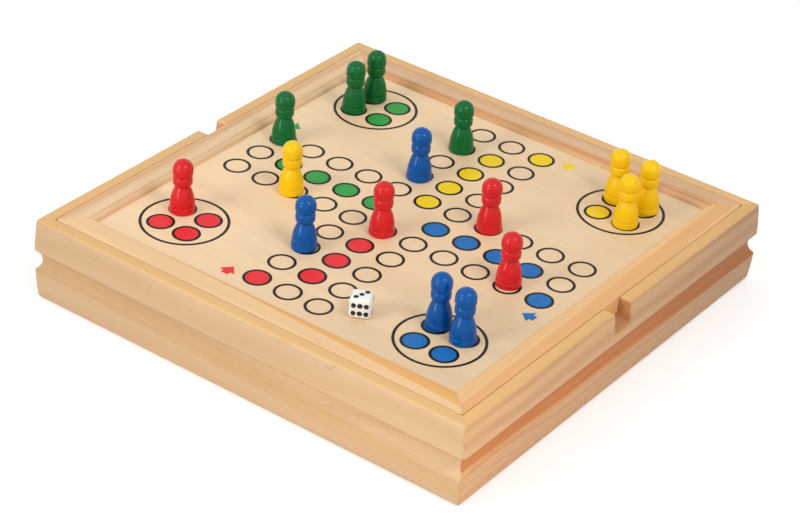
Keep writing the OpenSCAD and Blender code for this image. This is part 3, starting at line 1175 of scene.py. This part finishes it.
@dataclass
class Die:
    """The white die with rounded edges and hollow black pips, opposite faces adding up to seven."""

    side: float = 12 * MM
    edge_round: float = 2.3 * MM
    pip_step: float = 2.7 * MM
    row_step: float = 3.5 * MM
    row_gap: float = 4.7 * MM
    pip_radius: float = 1.5 * MM
    pip_depth: float = 0.6 * MM
    turn: float = math.radians(28.7)

    def face_turns(self) -> dict[int, Matrix]:
        """Work out where the faces look.

        Returns:
            The rotation that takes the top to each face, by the face's number of pips.
        """
        quarter = FULL_TURN / 4
        tip = {3: 0.0, 4: HALF_TURN, 6: quarter, 1: -quarter}
        turns = {pips: Matrix.Rotation(angle, 4, "X") for pips, angle in tip.items()}
        for pips, way in ((2, 1), (5, -1)):
            turns[pips] = Matrix.Rotation(way * quarter, 4, "Z") @ Matrix.Rotation(quarter, 4, "X")
        return turns

    def pips(self, number: int) -> list[Point]:
        """Lay out the pips on a face.

        Args:
            number: how many there are.

        Returns:
            Their places, from the face's middle.
        """
        if number == 6:
            return [(x * self.row_step, y * self.row_gap / 2) for x in (-1, 0, 1) for y in (-1, 1)]
        places: list[Point] = [(0.0, 0.0)] if number % 2 else []
        if number > 1:
            places += [(-self.pip_step, -self.pip_step), (self.pip_step, self.pip_step)]
        if number > 3:
            places += [(-self.pip_step, self.pip_step), (self.pip_step, -self.pip_step)]
        return places

    def pip_cutter(self) -> bmesh.types.BMesh:
        """Make the balls that hollow out the pips.

        Returns:
            All of them in one mesh.
        """
        ball = (self.pip_radius ** 2 + self.pip_depth ** 2) / (2 * self.pip_depth)
        made = bmesh.new()
        for number, turn in self.face_turns().items():
            for column, row in self.pips(number):
                place = Vector((column, row, self.side / 2 - self.pip_depth + ball))
                bmesh.ops.create_uvsphere(made, u_segments=32, v_segments=32, radius=ball,
                                          matrix=turn @ Matrix.Translation(place))
        return made

    def build(self) -> None:
        """Make the die where its CAD solid lies."""
        made = bmesh.new()
        bmesh.ops.create_cube(made, size=self.side)
        bmesh.ops.bevel(made, geom=made.edges[:], offset=self.edge_round, offset_type="OFFSET", segments=6,
                        profile=0.5, affect="EDGES", material=-1)
        white = MouldedFinish("die_plastic", srgb(240, 238, 234), 0.22).build()
        black = MouldedFinish("pip_paint", srgb(20, 18, 18), 0.4).build()
        piece = new_piece("rounded_die", made, white)
        carve(piece, self.pip_cutter(), black)
        low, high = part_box("die_body")
        place = Matrix.Translation((low + high) / 2) @ Matrix.Rotation(self.turn, 4, "Z")
        piece.data.transform(place)
        for polygon in piece.data.polygons:
            polygon.use_smooth = True
        piece.data.set_sharp_from_angle(angle=math.radians(30))
        settle(piece, "die", "die_white", "die_body", "die_pips")


@dataclass(frozen=True)
class Softbox:
    """A square softbox: the way to it, its side, and the share of full white that it gives."""

    name: str
    way: Place
    size: float
    level: float


@dataclass
class Studio:
    """The white studio: floor, lamps, surroundings and the camera."""

    camera_place: Place = (0.68979, -1.00588, 0.78414)
    image_right: Place = (0.79965, 0.59720, 0.06251)
    image_down: Place = (0.36205, -0.39657, -0.84360)
    view_way: Place = (-0.47900, 0.69722, -0.53334)
    lens_mm: float = 115.69
    sensor_mm: float = 36.0
    nearest: float = 0.05
    farthest: float = 50.0
    lamp_distance: float = 1.6
    softboxes: tuple[Softbox, ...] = (
        Softbox("front_softbox", (-0.340, -0.708, 0.618), 0.55, 0.2),
        Softbox("side_softbox", (0.613, -0.138, 0.778), 0.5, 0.26),
        Softbox("low_softbox", (-0.25, -0.95, 0.19), 0.5, 0.2),
    )
    sky: float = 0.66
    floor_half: float = 6.0
    floor_grey: float = 0.8
    floor_glow: float = 0.35

    def camera(self) -> None:
        """Set the camera where the photograph was taken from."""
        data = bpy.data.cameras.new("camera")
        data.lens = self.lens_mm
        data.sensor_width = self.sensor_mm
        data.clip_start = self.nearest
        data.clip_end = self.farthest
        camera = in_scene("camera", data)
        axes = Matrix((self.image_right, -Vector(self.image_down), -Vector(self.view_way))).transposed()
        camera.matrix_world = Matrix.Translation(self.camera_place) @ axes.to_4x4()
        bpy.context.scene.camera = camera

    def lamp(self, softbox: Softbox) -> None:
        """Hang one softbox that looks at the box.

        Args:
            softbox: which one.
        """
        data = bpy.data.lights.new(softbox.name, "AREA")
        data.shape = "SQUARE"
        data.size = softbox.size
        data.energy = softbox.level * math.pi ** 2 * self.lamp_distance ** 2
        lamp = in_scene(softbox.name, data)
        way_out = Vector(softbox.way).normalized()
        lamp.location = way_out * self.lamp_distance
        lamp.rotation_mode = "QUATERNION"
        lamp.rotation_quaternion = way_out.to_track_quat("Z", "Y")

    def seen_mask(self, pad: NodePad) -> Socket:
        """Find the rays that see the background itself: from the camera, or by gloss or glass.

        Args:
            pad: the nodes to add to.

        Returns:
            1 for those rays, and 0 for the others.
        """
        path = pad.add("ShaderNodeLightPath")
        gloss = pad.maths("MAXIMUM", path.outputs["Is Glossy Ray"], path.outputs["Is Transmission Ray"])
        return pad.maths("MAXIMUM", path.outputs["Is Camera Ray"], gloss)

    def surroundings(self) -> None:
        """Light from all round, which looks plain white where it is seen."""
        world = bpy.data.worlds.new("studio")
        world.use_nodes = True
        pad = NodePad(world.node_tree)
        lit, seen = (pad.add("ShaderNodeBackground", {"Color": WHITE, "Strength": strength}).outputs[0]
                     for strength in (self.sky, 1.0))
        both = pad.add("ShaderNodeMixShader", {0: self.seen_mask(pad), 1: lit, 2: seen})
        pad.add("ShaderNodeOutputWorld", {"Surface": both.outputs[0]})
        bpy.context.scene.world = world

    def floor(self) -> None:
        """Lay a white floor that keeps the box's shadow."""
        material = bpy.data.materials.new("studio_floor")
        material.use_nodes = True
        pad = NodePad(material.node_tree)
        grey = (self.floor_grey, self.floor_grey, self.floor_grey, 1.0)
        paper = pad.add("ShaderNodeBsdfDiffuse", {"Color": grey})
        glow = pad.add("ShaderNodeEmission", {"Strength": pad.times(self.seen_mask(pad), self.floor_glow)})
        both = pad.add("ShaderNodeAddShader", {0: paper.outputs[0], 1: glow.outputs[0]})
        pad.add("ShaderNodeOutputMaterial", {"Surface": both.outputs[0]})
        made = bmesh.new()
        bmesh.ops.create_grid(made, x_segments=1, y_segments=1, size=self.floor_half)
        floor = in_scene("studio_floor", mesh_of("studio_floor", made, material))

    def build(self) -> None:
        """Set up the camera, the floor, the surroundings and the lamps."""
        self.camera()
        self.floor()
        self.surroundings()
        for softbox in self.softboxes:
            self.lamp(softbox)
        bpy.context.scene.view_settings.view_transform = "Standard"


def main() -> None:
    """Build the studio and every piece, in order."""
    logging.basicConfig(level=logging.INFO, format="%(name)s: %(message)s")
    Studio().build()
    Walls().build()
    LidRails().build()
    Panels().build()
    Print().build()
    pawn = Pawn()
    for colour in PieceColour:
        lacquer = LacquerFinish(f"lacquer_{colour.value}", colour.lacquer).build()
        for number in range(1, PAWNS_EACH + 1):
            pawn.build(colour, number, lacquer)
    Die().build()


if __name__ == "__main__":
    main()
